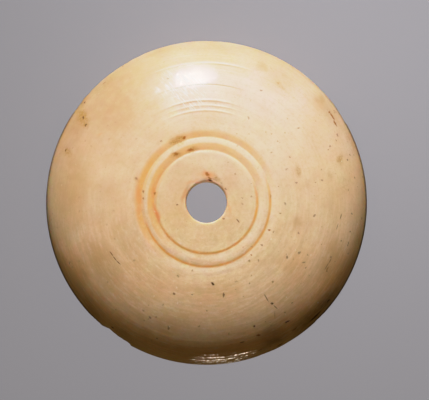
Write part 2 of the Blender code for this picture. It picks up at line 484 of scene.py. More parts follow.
def makeWhorl():
    rings = whorlRings()
    segments = whorlShape["segments"]
    places = []
    kept = {name: [] for name in ("broken", "dirt", "fresh", "lines", *softPatches)}
    for ring in rings:
        onTop = ring[4] in ("dome", "lip")
        for segment in range(segments):
            angle = 2 * math.pi * segment / segments
            place, broken = whorlVertex(ring, angle)
            places.append(place * mm)
            tints = surfaceTints(ring[0], angle, place) if onTop else {}
            tints["broken"] = broken
            for name, values in kept.items():
                values.append(tints.get(name, 0.0))
    # the faces, and the finish of each: the two halves of the dome, then what saw and drill left
    faces, slots = [], []
    for row, ring in enumerate(rings):
        nextRow = (row + 1) % len(rings)
        dull = ring[4] in ("underside", "bore") or rings[nextRow][4] == "underside"
        for segment in range(segments):
            after = (segment + 1) % segments
            corners = ((row, segment), (nextRow, segment), (nextRow, after), (row, after))
            faces.append([level * segments + place for level, place in corners])
            upper = 2 * segment < segments
            slots.append(2 if dull else 0 if upper else 1)
    mesh = bpy.data.meshes.new("whorlSurface")
    mesh.from_pydata(places, [], faces)
    mesh.polygons.foreach_set("material_index", slots)
    mesh.shade_smooth()
    for name, values in kept.items():
        mesh.attributes.new(name, "FLOAT", "POINT").data.foreach_set("value", values)
    mesh.validate()
    whorl = bpy.data.objects.new("whorlSurface", mesh)
    bpy.context.scene.collection.objects.link(whorl)
    print("whorl surface:", len(rings), "rings,", 2 * len(faces), "triangles")
    return whorl


# Small helpers for materials.
def give(tree, socket, value):
    if isinstance(value, bpy.types.NodeSocket):
        tree.links.new(value, socket)
    else:
        socket.default_value = value


def addNode(tree, kind, values=None, **settings):
    made = tree.nodes.new(kind)
    for name, value in settings.items():
        setattr(made, name, value)
    for name, value in (values or {}).items():
        give(tree, made.inputs[name], value)
    return made


def maths(tree, operation, first, second=0.0, clamp=False):
    made = addNode(tree, "ShaderNodeMath", {0: first, 1: second}, operation=operation, use_clamp=clamp)
    return made.outputs[0]


def product(tree, first, *others):
    for other in others:
        first = maths(tree, "MULTIPLY", first, other)
    return first


def total(tree, first, *others):
    for other in others:
        first = maths(tree, "ADD", first, other)
    return first


def vectorMaths(tree, operation, first, second=(0, 0, 0)):
    made = addNode(tree, "ShaderNodeVectorMath", {0: first, 1: second}, operation=operation)
    return made.outputs["Vector"]


def scaled(tree, vector, factor):
    return addNode(tree, "ShaderNodeVectorMath", {0: vector, "Scale": factor}, operation="SCALE").outputs[0]


def combined(tree, x, y, z):
    return addNode(tree, "ShaderNodeCombineXYZ", {"X": x, "Y": y, "Z": z}).outputs[0]


def ramped(tree, value, start, end, low=0.0, high=1.0):
    made = addNode(
        tree, "ShaderNodeMapRange",
        {"Value": value, "From Min": start, "From Max": end, "To Min": low, "To Max": high},
        interpolation_type="SMOOTHSTEP",
    )
    return made.outputs[0]


def mixed(tree, share, first, second, blend="MIX"):
    made = addNode(tree, "ShaderNodeMix", data_type="RGBA", blend_type=blend, clamp_factor=True)
    give(tree, made.inputs[0], share)
    give(tree, made.inputs[6], first)
    give(tree, made.inputs[7], second)
    return made.outputs[2]


def painted(tree, colour, newColour, *shares):
    # a new colour over the one before, by all the shares together
    return mixed(tree, product(tree, *shares), colour, newColour)


def bumped(tree, *heights):
    height = total(tree, *heights)
    return addNode(tree, "ShaderNodeBump", {"Height": height, "Distance": mm, "Strength": 1.0}).outputs[0]


def noisy(tree, vector, scale, detail=2.0, roughness=0.5, output=0):
    made = addNode(
        tree, "ShaderNodeTexNoise",
        {"Vector": vector, "Scale": scale, "Detail": detail, "Roughness": roughness},
    )
    return made.outputs[output]


def newGroup(name, inputs, outputs):
    # inputs are name: kind and default, after the point that all groups have; outputs name: kind
    kinds = {"value": "NodeSocketFloat", "vector": "NodeSocketVector", "colour": "NodeSocketColor"}
    group = bpy.data.node_groups.new(name, "ShaderNodeTree")
    inputs = {"Point": ("vector", (0, 0, 0)), **inputs}
    for socketName, (kind, default) in inputs.items():
        socket = group.interface.new_socket(socketName, in_out="INPUT", socket_type=kinds[kind])
        socket.default_value = default
    for socketName, kind in outputs.items():
        group.interface.new_socket(socketName, in_out="OUTPUT", socket_type=kinds[kind])
    inside = group.nodes.new("NodeGroupInput").outputs
    outside = group.nodes.new("NodeGroupOutput").inputs
    return group, inside, outside


def placeGroup(tree, group, point, values):
    made = tree.nodes.new("ShaderNodeGroup")
    made.node_tree = group
    give(tree, made.inputs["Point"], point)
    for name, value in values.items():
        give(tree, made.inputs[name], value)
    return made.outputs


def turnedPlace(tree, point):
    # the place on a turned disc: cosine and sine of its angle, how far down the dome, and radius
    parts = addNode(tree, "ShaderNodeSeparateXYZ", {0: point}).outputs
    across = maths(tree, "DIVIDE", parts[0], drying)
    square = total(tree, product(tree, across, across), product(tree, parts[1], parts[1]))
    radius = maths(tree, "SQRT", square)
    cosine, sine = maths(tree, "DIVIDE", across, radius), maths(tree, "DIVIDE", parts[1], radius)
    return cosine, sine, maths(tree, "SUBTRACT", radius, parts[2]), radius


# The next two are used in groups, where the values are the group's inputs, and on their own.
def turningNoise(tree, point, values):
    # streaks along the turning, shorter the higher the sweep
    cosine, sine, run, _ = turnedPlace(tree, point)
    sweep, down = values["Sweep"], maths(tree, "DIVIDE", run, values["Spacing"])
    vector = combined(tree, product(tree, cosine, sweep), product(tree, sine, sweep), down)
    return noisy(tree, vector, 1.0, 3.0, 0.65)


def scratchNoise(tree, point, values):
    # straight scratches that lie one way, and where the noise counts as a scratch
    rotation = combined(tree, 0.0, 0.0, values["Turn"])
    turned = addNode(
        tree, "ShaderNodeMapping", {"Vector": point, "Rotation": rotation}, vector_type="TEXTURE",
    ).outputs[0]
    inverses = [maths(tree, "DIVIDE", 1.0, values[name]) for name in ("Length", "Spacing")]
    stretched = vectorMaths(tree, "MULTIPLY", turned, combined(tree, *inverses, 0.5))
    lines = noisy(tree, stretched, 1.0, 2.0, 0.6)
    return lines, ramped(tree, lines, values["Threshold"], total(tree, values["Threshold"], 0.12))


def makeBoneTone():
    group, inside, outside = newGroup(
        "boneTone",
        {
            "Pale": ("colour", (1, 1, 1, 1)), "Warm": ("colour", (1, 1, 1, 1)),
            "Deep": ("colour", (1, 1, 1, 1)), "Patch Size": ("value", 8.0), "Mottle": ("value", 0.5),
        },
        {"Colour": "colour"},
    )
    inverse = maths(group, "DIVIDE", 1.0, inside["Patch Size"])
    broad = noisy(group, inside["Point"], inverse, 3.0, 0.55)
    fine = noisy(group, inside["Point"], product(group, inverse, 3.7), 3.0, 0.6)
    blend = total(group, product(group, broad, 0.7), product(group, fine, 0.3))
    colour = mixed(group, ramped(group, blend, 0.36, 0.62), inside["Pale"], inside["Warm"])
    shifted = vectorMaths(group, "ADD", inside["Point"], (31, 7, 13))
    dark = ramped(group, noisy(group, shifted, product(group, inverse, 1.9), 4.0, 0.6), 0.5, 0.72)
    give(group, outside["Colour"], painted(group, colour, inside["Deep"], dark, inside["Mottle"]))
    return group


def makeTurningStreaks():
    group, inside, outside = newGroup(
        "turningStreaks",
        {"Spacing": ("value", 0.5), "Sweep": ("value", 2.0)},
        {"Mask": "value", "Height": "value"},
    )
    streak = turningNoise(group, inside["Point"], inside)
    give(group, outside["Mask"], ramped(group, streak, 0.42, 0.68))
    give(group, outside["Height"], total(group, streak, -0.5))
    return group


def makeBonePores():
    group, inside, outside = newGroup(
        "bonePores",
        {"Spacing": ("value", 1.0), "Size": ("value", 0.2), "Share": ("value", 0.3)},
        {"Mask": "value"},
    )
    inverse = maths(group, "DIVIDE", 1.0, inside["Spacing"])
    wobble = scaled(group, noisy(group, inside["Point"], 4.0, 1.0, 0.5, 1), 0.18)
    cells = addNode(
        group, "ShaderNodeTexVoronoi",
        {"Vector": vectorMaths(group, "ADD", inside["Point"], wobble), "Scale": inverse, "Randomness": 1.0},
        voronoi_dimensions="3D", feature="F1",
    )
    luck = addNode(group, "ShaderNodeSeparateColor", {0: cells.outputs["Color"]}).outputs
    chosen = maths(group, "LESS_THAN", luck[0], inside["Share"])
    size = product(group, inside["Size"], inverse, total(group, product(group, luck[1], 0.8), 0.35))
    hole = ramped(group, cells.outputs["Distance"], size, product(group, size, 0.3))
    give(group, outside["Mask"], product(group, chosen, hole))
    return group


def makeFineScratches():
    group, inside, outside = newGroup(
        "fineScratches",
        {
            "Turn": ("value", 0.0), "Length": ("value", 2.0), "Spacing": ("value", 0.3),
            "Threshold": ("value", 0.55),
        },
        {"Mask": "value", "Height": "value"},
    )
    lines, mask = scratchNoise(group, inside["Point"], inside)
    give(group, outside["Mask"], mask)
    give(group, outside["Height"], total(group, lines, -0.5))
    return group


def makeMarkGroup():
    # one mark at a place of its own, an ellipse with a soft edge, laid over the marks before it
    group, inside, outside = newGroup(
        "singleMark",
        {
            "Centre": ("vector", (0, 0, 0)), "Turn": ("vector", (0, 0, 0)), "Reach": ("vector", (1, 1, 1)),
            "Softness": ("value", 0.6), "Strength": ("value", 1.0), "Before": ("value", 0.0),
        },
        {"Mask": "value"},
    )
    local = addNode(
        group, "ShaderNodeMapping",
        {
            "Vector": inside["Point"], "Location": inside["Centre"], "Rotation": inside["Turn"],
            "Scale": inside["Reach"],
        },
        vector_type="TEXTURE",
    ).outputs[0]
    away = addNode(group, "ShaderNodeVectorMath", {0: local}, operation="LENGTH").outputs["Value"]
    mask = ramped(group, away, 1.0, maths(group, "SUBTRACT", 1.0, inside["Softness"]))
    mask = product(group, mask, inside["Strength"])
    give(group, outside["Mask"], maths(group, "MAXIMUM", mask, inside["Before"]))
    return group


def markFrame(x, y, turn):
    # centre of a mark on the dome, and the turn that lays it along the surface
    radius = math.hypot(x / drying, y)
    height = domeHeight(radius)
    outward, upward = domeNormal(radius, height)
    normal = Vector((outward * x / drying / radius, outward * y / radius, upward)).normalized()
    along = Vector((math.cos(math.radians(turn)), math.sin(math.radians(turn)), 0.0))
    along = (along - normal * along.dot(normal)).normalized()
    across = normal.cross(along)
    return (x, y, height), Matrix((along, across, normal)).transposed().to_euler()


def markMask(tree, point, marks, softness, thickness=0.6):
    # the strongest of several marks: x, y, half length, half width, turn, strength
    strongest = 0.0
    for x, y, halfLength, halfWidth, turn, strength in marks:
        centre, rotation = markFrame(x, y, turn)
        strongest = placeGroup(tree, singleMark, point, {
            "Centre": centre, "Turn": rotation, "Reach": (halfLength, halfWidth, max(thickness, halfWidth)),
            "Softness": softness, "Strength": strength, "Before": strongest,
        })["Mask"]
    return strongest


boneTone = makeBoneTone()
turningStreaks = makeTurningStreaks()
bonePores = makeBonePores()
fineScratches = makeFineScratches()
singleMark = makeMarkGroup()
print("finish groups made")


# What a user would change in the finish of the dome. Colours are linear.
domeFinish = {
    "pale": (0.88, 0.595, 0.414, 1),
    "warm": (0.82, 0.500, 0.312, 1),
    "deep": (0.68, 0.415, 0.210, 1),
    "patchSize": 7.0,
    "mottle": 0.35,
    "streakColour": (0.56, 0.36, 0.150, 1),
    "streaks": {"Spacing": 0.7, "Sweep": 1.6},
    "streakShare": 0.14,
    "bands": {"Spacing": 0.95, "Sweep": 2.2},
    "bandShare": 0.25,
    "dashes": {"Spacing": 0.42, "Sweep": 9.0},
    "dashShare": 0.20,
    "paleDashShare": 0.18,
    "grooveStain": (0.90, 0.395, 0.080, 1),
    "grooveStainShare": 0.95,
    "freshBone": (0.98, 0.665, 0.49, 1),
    "freshShare": 0.6,
    "rimPatina": (0.74, 0.40, 0.13, 1),
    "browned": (1.10, 0.88, 0.60, 1),
    "yellowed": (1.03, 1.08, 0.97, 1),
    "lineDirt": (0.46, 0.27, 0.13, 1),
    "linePale": (1.0, 0.86, 0.74, 1),
    "lineShare": 0.48,
    "rimPatinaShare": 0.55,
    "grainShare": 0.30,
    "specks": {"Spacing": 1.0, "Size": 0.21, "Share": 0.45},
    "speckColour": (0.34, 0.20, 0.07, 1),
    "speckShare": 0.80,
    "flecks": {"Spacing": 1.1, "Size": 0.18, "Share": 0.35},
    "fleckColour": (0.95, 0.80, 0.62, 1),
    "fleckShare": 0.55,
    "edgeLineColour": (0.09, 0.043, 0.018, 1),
    "edgeLineShare": 0.85,
    "crustColour": (0.96, 0.82, 0.72, 1),
    "crustGrains": {"Spacing": 0.8, "Sweep": 60.0},
    "crustCrests": 0.10,
    "crustDulled": 0.22,
    "pores": {"Spacing": 1.1, "Size": 0.10, "Share": 0.3},
    "poreShare": 0.35,
    "brokenColour": (0.30, 0.17, 0.07, 1),
    "brokenShare": 0.6,
    "roughness": 0.50,
    "subsurface": 0.55,
    "subsurfaceDepth": 0.45,
    "fineTurning": {"Spacing": 0.16, "Sweep": 2.0},
    "hatching": {"Turn": math.radians(-48), "Length": 1.3, "Spacing": 0.155, "Threshold": 0.51},
    "strays": {"Turn": math.radians(24), "Length": 2.6, "Spacing": 0.22, "Threshold": 0.60},
    "strokeColour": (1.0, 0.93, 0.84, 1),
    "strokeShare": 0.62,
    "coat": 0.6,
    "coatRoughness": 0.055,
    "scratchesDull": 0.85,
    "glitterCoat": 0.9,
}

# Where each tone and the polish come in: from and to, then the shares there if not 0 and 1. Names
# end with what is measured: Height above the underside, X to either side, and Y.
domeRanges = {
    "brownedHeight": (9.2, 6.0),
    "brownedY": (-3.0, -10.0),
    "patinaHeight": (7.5, 2.0),
    "patinaY": (19.0, 8.0, 0.2),
    "lowerY": (7.0, -9.0),
    "sidesX": (12.0, 19.0),
    "sidesY": (9.0, 2.0),
    "edgeLineHeight": (4.1, 2.7),
    "edgeLineX": (11.0, 17.0),
    "edgeLineY": (18.0, 11.0),
    "crowdedSide": (-14.0, 16.0, 0.35),
    "breakUp": (0.30, 0.62, 0.80),
    "patchy": (0.25, 0.70, 0.70),
    "smudged": (0.40, 0.62, 0.45),
    "paleDashes": (-0.04, -0.14),
    "grain": (0.45, 0.72),
    "glitter": (0.06, 0.14),
    "hatched": (0.0, 0.6),
    "polishHeight": (2.5, 8.0, 0.08),
    "glossHeight": (2.5, 8.0, 0.04, 0.10),
    "polishY": (-16.0, -8.0),
    "polishRadius": (3.05, 3.45, 0.1),
    "polishPatches": (0.42, 0.58, 0.50),
}

# How high the fine relief stands, in the bone itself and in its polish.
domeRelief = {
    "boneTurning": 0.010,
    "boneScoring": -0.004,
    "bonePores": -0.03,
    "boneLumps": 0.015,
    "polishTurning": 0.010,
    "polishScoring": -0.028,
    "polishLumps": 0.006,
    "polishRows": 0.08,
}

# Small marks on the dome, each listed as x, y, half length, half width, turn, strength.
domeMarks = {
    "rustColour": (0.36, 0.135, 0.02, 1),
    "rust": (
        (17.8, 12.2, 0.9, 0.32, -66, 1), (18.2, 11.2, 0.7, 0.34, -66, 1),
        (17.4, 12.8, 0.45, 0.24, 40, 0.95), (18.2, 13, 0.5, 0.16, 10, 0.8),
        (0.1, 3.9, 0.5, 0.32, -62, 0.9), (0.5, 3.3, 0.4, 0.26, -40, 0.9),
        (-11.9, 19.4, 0.35, 0.26, -60, 0.9), (17, -9.4, 0.6, 0.2, -122, 0.6),
        (12.5, -17.9, 0.7, 0.24, -121, 0.8), (-3.1, 9, 0.36, 0.24, 40, 1),
        (-4.2, 6.7, 0.46, 0.32, -20, 0.9), (-2.2, 7.3, 0.6, 0.26, 10, 0.9),
        (-7.2, 1.2, 0.36, 0.26, 60, 0.9), (-8.8, 1.5, 0.3, 0.18, 90, 0.9),
        (-8.8, 0.5, 0.26, 0.16, 90, 0.7), (8.8, -3.9, 0.24, 0.2, 0, 0.9),
        (6.3, -7.4, 0.26, 0.18, -40, 0.8), (7.3, -18.7, 0.42, 0.24, 0, 1),
        (9, 0.8, 0.45, 0.14, 90, 0.6), (7.6, -20.9, 0.5, 0.24, 30, 0.8), (-14.5, 17, 0.4, 0.22, 0, 0.6),
    ),
    "darkColour": (0.12, 0.05, 0.008, 1),
    "dark": (
        (0.5, 3.05, 0.5, 0.2, -15, 1), (18.5, 9.5, 0.26, 0.24, -64, 0.55),
        (17.4, 7.9, 0.26, 0.2, 0, 0.5), (12.6, 2.7, 0.28, 0.22, 153, 0.5),
        (0.9, -11.4, 0.38, 0.24, 139, 1), (2.4, -13, 0.44, 0.2, -99, 0.8),
        (9.2, -14.2, 0.26, 0.24, -108, 1), (11.3, -7.7, 0.3, 0.22, -63, 0.6),
        (13, -7.1, 0.34, 0.2, 25, 0.55), (6.7, -17.4, 0.26, 0.22, -101, 1),
        (17.3, -13.9, 0.4, 0.28, -130, 1), (15.1, -1.9, 0.32, 0.18, -111, 0.55),
        (5.9, 11.8, 0.3, 0.2, -45, 0.45), (7.7, 15.7, 0.3, 0.18, -20, 0.5),
        (12.9, -4.3, 0.24, 0.22, 0, 0.5), (-17.4, 12, 0.44, 0.2, -60, 0.9),
        (-17, 10.9, 0.3, 0.22, 30, 0.8), (11.4, -16.8, 0.48, 0.2, 20, 1),
        (-17.3, 14.2, 0.3, 0.22, 45, 0.9), (13.7, -8.4, 0.34, 0.16, 0, 0.5),
        (5, -19.7, 0.5, 0.2, 10, 0.7), (-5.3, -17.6, 0.44, 0.2, 80, 0.6),
        (-7.9, -16.2, 0.34, 0.2, -48, 0.6), (-4.5, -12.8, 0.26, 0.2, 0, 0.7),
        (20.6, 10.2, 0.45, 0.2, -66, 0.9), (21.6, 7.9, 0.45, 0.2, -72, 0.9),
        (7.7, -6, 0.26, 0.2, -40, 0.6), (11, -0.2, 0.34, 0.18, -61, 0.5),
        (20, -5.8, 0.45, 0.12, -100, 0.6), (20.5, -1.6, 0.24, 0.2, 0, 0.5),
        (-6.3, 8.5, 0.22, 0.2, 0, 0.5), (-13.3, -17.7, 0.3, 0.24, 0, 0.9),
        (-2, -12.9, 0.24, 0.18, 0, 0.5), (2.7, 1.8, 0.3, 0.2, -60, 0.6), (10.4, -20.2, 0.7, 0.3, 27, 1),
        (15.4, -16.2, 1.6, 0.45, 45, 0.9), (-4.1, -0.4, 0.22, 0.18, 0, 0.7),
        (-19.9, 7.4, 0.28, 0.22, 0, 0.9), (5, 0.6, 0.3, 0.12, 0, 0.4), (-5.4, 17.4, 0.24, 0.2, 0, 0.4),
        (12.9, 10.4, 0.24, 0.18, 0, 0.5), (11.7, 6.3, 0.22, 0.18, 0, 0.5),
        (16.2, 3.1, 0.24, 0.18, 0, 0.5), (19.9, 6, 0.24, 0.18, 0, 0.6),
        (11.2, 4.6, 0.34, 0.18, 40, 0.4), (17.5, -7.7, 0.26, 0.18, 0, 0.45),
        (-9.8, 3.3, 0.3, 0.2, -50, 0.4), (2.4, -2.3, 0.24, 0.2, 0, 0.6),
    ),
    "scratchColour": (0.22, 0.1, 0.03, 1),
    "scratches": (
        (-13.3, -7.2, 0.55, 0.1, -52, 1), (-12.8, -7.9, 0.55, 0.1, -50, 1),
        (-12.3, -8.45, 0.5, 0.1, -42, 1), (8.4, -13.4, 0.9, 0.11, -60, 0.8),
        (18.9, -2, 0.55, 0.1, -112, 0.9), (18.4, -3.4, 0.65, 0.08, -112, 0.7),
        (9.7, -14.7, 0.6, 0.1, -47, 0.7), (4.4, -2.6, 0.46, 0.13, -51, 0.8),
        (9.6, -15.8, 0.8, 0.09, -80, 0.4), (16.9, -9, 0.8, 0.12, 58, 0.6),
        (17.4, -8.2, 0.5, 0.12, 62, 0.6), (-19.3, -8.5, 0.5, 0.1, 45, 0.5),
    ),
}

sawnFinish = {
    "pale": (0.66, 0.47, 0.27, 1),
    "warm": (0.56, 0.37, 0.20, 1),
    "deep": (0.36, 0.22, 0.11, 1),
    "patchSize": 5.0,
    "mottle": 0.55,
    "streakColour": (0.40, 0.26, 0.13, 1),
    "streaks": {"Spacing": 0.5, "Sweep": 2.2},
    "streakShare": 0.3,
    "pores": {"Spacing": 0.9, "Size": 0.16, "Share": 0.5},
    "poreColour": (0.16, 0.09, 0.045, 1),
    "poreShare": 0.7,
    "sawLines": {"Turn": math.radians(18), "Length": 9.0, "Spacing": 0.3, "Threshold": 0.52},
    "heights": {"streaks": 0.02, "sawLines": 0.03, "pores": -0.08},
    "roughness": 0.62,
    "subsurface": 0.9,
    "subsurfaceDepth": 1.6,
}


def newMaterial(name, finish):
    material = bpy.data.materials.new(name)
    material.use_nodes = True
    tree = material.node_tree
    shader = tree.nodes["Principled BSDF"]
    shader.inputs["Subsurface Weight"].default_value = finish["subsurface"]
    shader.inputs["Subsurface Scale"].default_value = finish["subsurfaceDepth"] * mm
    shader.inputs["Subsurface Radius"].default_value = (1.0, 0.42, 0.14)
    shader.inputs["IOR"].default_value = 1.54
    coordinates = addNode(tree, "ShaderNodeTexCoord").outputs["Object"]
    return material, tree, shader, scaled(tree, coordinates, 1 / mm)


def attribute(tree, name):
    return addNode(tree, "ShaderNodeAttribute", attribute_name=name).outputs["Fac"]


def ranged(tree, value, name):
    return ramped(tree, value, *domeRanges[name])


def toned(tree, point, finish):
    return placeGroup(tree, boneTone, point, {
        "Pale": finish["pale"], "Warm": finish["warm"], "Deep": finish["deep"],
        "Patch Size": finish["patchSize"], "Mottle": finish["mottle"],
    })["Colour"]


def layered(tree, colour, finish, *layers):
    # layers one over the other: the name of the colour, its masks, and the name of its share
    for colourName, *masks, shareName in layers:
        colour = painted(tree, colour, finish[colourName], *masks, finish[shareName])
    return colour


def stained(tree, colour, breakUp, *names):
    for name in names:
        colour = painted(tree, colour, bonePatches[name]["colour"], attribute(tree, name), breakUp)
    return colour


def groundTone(tree, point, place, lower, breakUp):
    # the bone with its soft patches
    finish = domeFinish
    x, y, z = place
    colour = stained(
        tree, toned(tree, point, finish), breakUp, "ivory", "rosy", "peach", "tan", "umber", "russet",
    )
    streaks = placeGroup(tree, turningStreaks, point, finish["streaks"])["Mask"]
    colour = layered(tree, colour, finish, ("streakColour", streaks, "streakShare"))
    # painted shade: browner towards the rim, most of all towards -Y, the side away from the key light
    browned = product(tree, ranged(tree, z, "brownedHeight"), ranged(tree, y, "brownedY"))
    colour = mixed(tree, browned, colour, finish["browned"], "MULTIPLY")
    uneven = total(tree, z, product(tree, noisy(tree, point, 0.5, 3.0), 2.5))
    low = product(tree, ranged(tree, uneven, "patinaHeight"), ranged(tree, y, "patinaY"))
    colour = layered(tree, colour, finish, ("rimPatina", low, "rimPatinaShare"))
    # the bone is yellower below and at the sides
    sides = product(tree, ranged(tree, maths(tree, "ABSOLUTE", x), "sidesX"), ranged(tree, y, "sidesY"))
    return mixed(tree, maths(tree, "MAXIMUM", lower, sides), colour, finish["yellowed"], "MULTIPLY")


def grooveStainsAndShading(tree, colour, point, breakUp):
    # stain and painted shade in the grooves, painted light on their sides that face the key light, olive
    # spots, and the painted light and shade of the turned lines
    finish = domeFinish
    patchy = ranged(tree, noisy(tree, point, 0.45, 3.0, 0.6), "patchy")
    fresh, dirt, lines = (attribute(tree, name) for name in ("fresh", "dirt", "lines"))
    colour = layered(
        tree, colour, finish,
        ("freshBone", fresh, patchy, "freshShare"), ("grooveStain", dirt, patchy, "grooveStainShare"),
    )
    colour = stained(tree, colour, breakUp, "orange")
    smudged = ranged(tree, noisy(tree, point, 2.6, 4.0, 0.7), "smudged")
    colour = stained(tree, colour, smudged, "olive")
    # the turned lines: painted light on the side facing the key light, painted shade on the side turned
    # from it
    shadedSide = product(tree, lines, -1.0)
    return layered(
        tree, colour, finish, ("linePale", lines, "lineShare"), ("lineDirt", shadedSide, "lineShare"),
    )


def streaksAndSpecks(tree, colour, point, shaken, place, lower):
    finish = domeFinish
    x, y, z = place
    bands = placeGroup(tree, turningStreaks, point, finish["bands"])["Mask"]
    dashes = placeGroup(tree, turningStreaks, shaken, finish["dashes"])
    grain = noisy(tree, point, 2.4, 5.0, 0.75)
    crowded = ranged(tree, maths(tree, "SUBTRACT", x, y), "crowdedSide")
    specks = placeGroup(tree, bonePores, shaken, finish["specks"])["Mask"]
    elsewhere = vectorMaths(tree, "ADD", shaken, (5.3, 2.9, 0.0))
    flecks = placeGroup(tree, bonePores, elsewhere, finish["flecks"])["Mask"]
    # a dark line along the rim at either side
    across = maths(tree, "ABSOLUTE", x)
    aside = product(tree, ranged(tree, across, "edgeLineX"), ranged(tree, y, "edgeLineY"))
    edgeLine = ranged(tree, total(tree, z, product(tree, grain, 1.6)), "edgeLineHeight")
    return layered(
        tree, colour, finish,
        ("streakColour", bands, lower, "bandShare"),
        ("streakColour", dashes["Mask"], lower, "dashShare"),
        ("fleckColour", ranged(tree, dashes["Height"], "paleDashes"), lower, "paleDashShare"),
        ("streakColour", ranged(tree, grain, "grain"), "grainShare"),
        ("speckColour", specks, crowded, "speckShare"),
        ("fleckColour", flecks, crowded, "fleckShare"),
        ("edgeLineColour", edgeLine, aside, "edgeLineShare"),
    )


def crustRows(tree, point, shaken):
    # rows like those of the mesh, broken up into grains
    run = turnedPlace(tree, point)[2]
    crests = maths(tree, "SINE", product(tree, run, 2 * math.pi / whorlShape["crustRow"]))
    grains = turningNoise(tree, shaken, domeFinish["crustGrains"])
    return total(tree, product(tree, crests, domeFinish["crustCrests"]), total(tree, grains, -0.5))


def nearHalf(marks, side):
    # the marks that reach into one half of the dome: side 1 is towards +Y and -1 towards -Y
    return [mark for mark in marks if side * mark[1] > -1.0]


def marked(tree, colour, point, shaken, pores, side):
    # rust, dark pits with the finest pores, and scratches
    marks = domeMarks
    rust = markMask(tree, shaken, nearHalf(marks["rust"], side), 0.7)
    colour = painted(tree, colour, marks["rustColour"], rust)
    dark = markMask(tree, shaken, nearHalf(marks["dark"], side), 0.6)
    dark = maths(tree, "MAXIMUM", product(tree, pores, domeFinish["poreShare"]), dark)
    colour = painted(tree, colour, marks["darkColour"], dark)
    scratch = markMask(tree, point, nearHalf(marks["scratches"], side), 0.6, 0.3)
    return painted(tree, colour, marks["scratchColour"], scratch)


def scored(tree, hatch, hatched, strays):
    # short strokes side by side, hardly any elsewhere, and a few stray scratches
    strokes = product(tree, hatch, maths(tree, "MAXIMUM", hatched, 0.12))
    return total(tree, strokes, product(tree, strays, 0.4))


def makePolishedBone(name, side):
    # a material holds only so many marks, so each half of the dome has its own
    finish, relief = domeFinish, domeRelief
    material, tree, shader, point = newMaterial(name, finish)
    wobble = scaled(tree, noisy(tree, point, 3.0, 2.0, 0.6, 1), 0.40)
    shaken = vectorMaths(tree, "ADD", point, vectorMaths(tree, "SUBTRACT", wobble, (0.20, 0.20, 0.20)))
    x, y, z = addNode(tree, "ShaderNodeSeparateXYZ", {0: point}).outputs
    lower = ranged(tree, y, "lowerY")
    breakUp = ranged(tree, noisy(tree, point, 0.8, 3.0, 0.55), "breakUp")
    colour = groundTone(tree, point, (x, y, z), lower, breakUp)
    colour = grooveStainsAndShading(tree, colour, point, breakUp)
    colour = streaksAndSpecks(tree, colour, point, shaken, (x, y, z), lower)
    crust, rows = attribute(tree, "crust"), crustRows(tree, point, shaken)
    glitter = product(tree, ranged(tree, rows, "glitter"), crust)
    # the rows that glitter are painted pale as well: painted glints
    colour = painted(tree, colour, finish["crustColour"], glitter)
    # short scratches side by side, painted pale: pale scratches, and painted highlight where they catch the
    # shine
    hatched = ranged(tree, attribute(tree, "hatched"), "hatched")
    hatch = placeGroup(tree, fineScratches, point, finish["hatching"])["Mask"]
    colour = layered(tree, colour, finish, ("strokeColour", hatch, hatched, "strokeShare"))
    pores = placeGroup(tree, bonePores, point, finish["pores"])["Mask"]
    colour = marked(tree, colour, point, shaken, pores, side)
    broken = attribute(tree, "broken")
    colour = layered(tree, colour, finish, ("brokenColour", broken, "brokenShare"))
    give(tree, shader.inputs["Base Color"], colour)

    lumps = noisy(tree, point, 2.2, 4.0, 0.65)
    turning = placeGroup(tree, turningStreaks, point, finish["fineTurning"])["Height"]
    strays = placeGroup(tree, fineScratches, point, finish["strays"])["Mask"]
    scoring = scored(tree, hatch, hatched, strays)
    give(tree, shader.inputs["Normal"], bumped(
        tree, product(tree, turning, relief["boneTurning"]), product(tree, scoring, relief["boneScoring"]),
        product(tree, pores, relief["bonePores"]), product(tree, lumps, relief["boneLumps"]),
    ))
    # the polish follows the finest turning marks, which spread its shine along the slope; its
    # relief is laid without the groups
    turning = total(tree, turningNoise(tree, point, finish["fineTurning"]), -0.5)
    strokes, strays = (scratchNoise(tree, point, finish[name])[1] for name in ("hatching", "strays"))
    scoring = scored(tree, strokes, hatched, strays)
    give(tree, shader.inputs["Coat Normal"], bumped(
        tree,
        product(tree, turning, relief["polishTurning"]), product(tree, scoring, relief["polishScoring"]),
        product(tree, lumps, relief["polishLumps"]), product(tree, rows, crust, relief["polishRows"]),
    ))

    rough = total(tree, finish["roughness"], product(tree, noisy(tree, point, 0.8, 4.0, 0.6), 0.12))
    rough = maths(tree, "ADD", rough, product(tree, broken, 0.2), clamp=True)
    give(tree, shader.inputs["Roughness"], rough)
    # the edge is less polished than the crown, and so are the hole's lip and the side towards -Y
    southward = ranged(tree, y, "polishY")
    height = product(tree, ranged(tree, z, "polishHeight"), finish["coat"])
    lip = ranged(tree, turnedPlace(tree, point)[3], "polishRadius")
    dulled = product(tree, hatch, maths(tree, "MAXIMUM", hatched, 0.2), finish["scratchesDull"])
    clear = maths(tree, "SUBTRACT", 1.0, dulled)
    patches = ranged(tree, noisy(tree, point, 2.6, 4.0, 0.75), "polishPatches")
    polish = product(tree, height, lip, southward, clear, patches)
    polish = maths(tree, "MAXIMUM", polish, product(tree, glitter, finish["glitterCoat"]))
    give(tree, shader.inputs["Coat Weight"], polish)
    gloss = product(tree, ranged(tree, z, "glossHeight"), southward)
    give(tree, shader.inputs["Specular IOR Level"], gloss)
    crustRough = total(tree, product(tree, crust, finish["crustDulled"]), finish["coatRoughness"])
    give(tree, shader.inputs["Coat Roughness"], crustRough)
    return material


